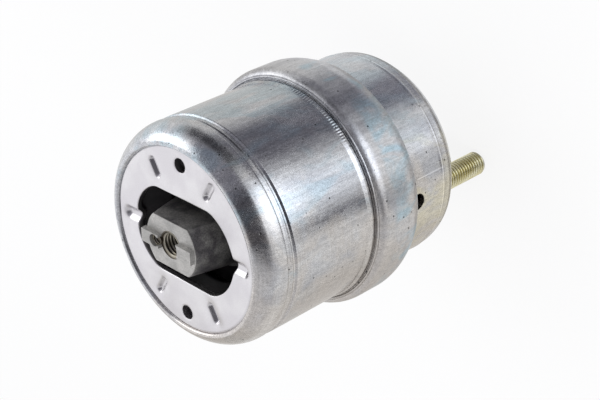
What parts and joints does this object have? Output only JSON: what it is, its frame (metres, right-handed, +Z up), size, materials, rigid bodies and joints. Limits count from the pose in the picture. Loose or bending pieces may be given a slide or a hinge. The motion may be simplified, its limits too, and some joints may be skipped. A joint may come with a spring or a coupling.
{
  "type": "engine mount",
  "caption": "Round hydraulic mount: zinc-plated cans clamped by a collar, cast core with a threaded bore and key behind a stop plate, off-centre fixing stud at the rear.",
  "frame": {"origin": "centre of the flat seat on the bottom of the rear can", "axes": "+Z up the mount's axis from the seat to the threaded face of the core, +X along the key on the core's face"},
  "size_m": [0.099, 0.099, 0.15],
  "materials": {
    "zinc_steel": "bright zinc plate with drawn streaks and a faint blue and straw tint",
    "satin_steel": "satin zinc plate",
    "cast_aluminium": "matt grey casting",
    "plate_aluminium": "die-cast",
    "plain_steel": "phosphated steel",
    "black_rubber": "moulded black rubber",
    "yellow_zinc_steel": "yellow-passivated zinc plate"
  },
  "bodies": {
    "root": {"front_can": "zinc_steel", "collar": "zinc_steel", "rear_can": "zinc_steel", "stop_plate": "satin_steel", "core": "cast_aluminium", "stop_buffer": "black_rubber", "spring": "black_rubber", "decoupler": "black_rubber", "diaphragm": "black_rubber", "sleeve": "plain_steel", "upper_plate": "plate_aluminium", "lower_plate": "plate_aluminium", "stud": "yellow_zinc_steel"}
  },
  "joints": []
}
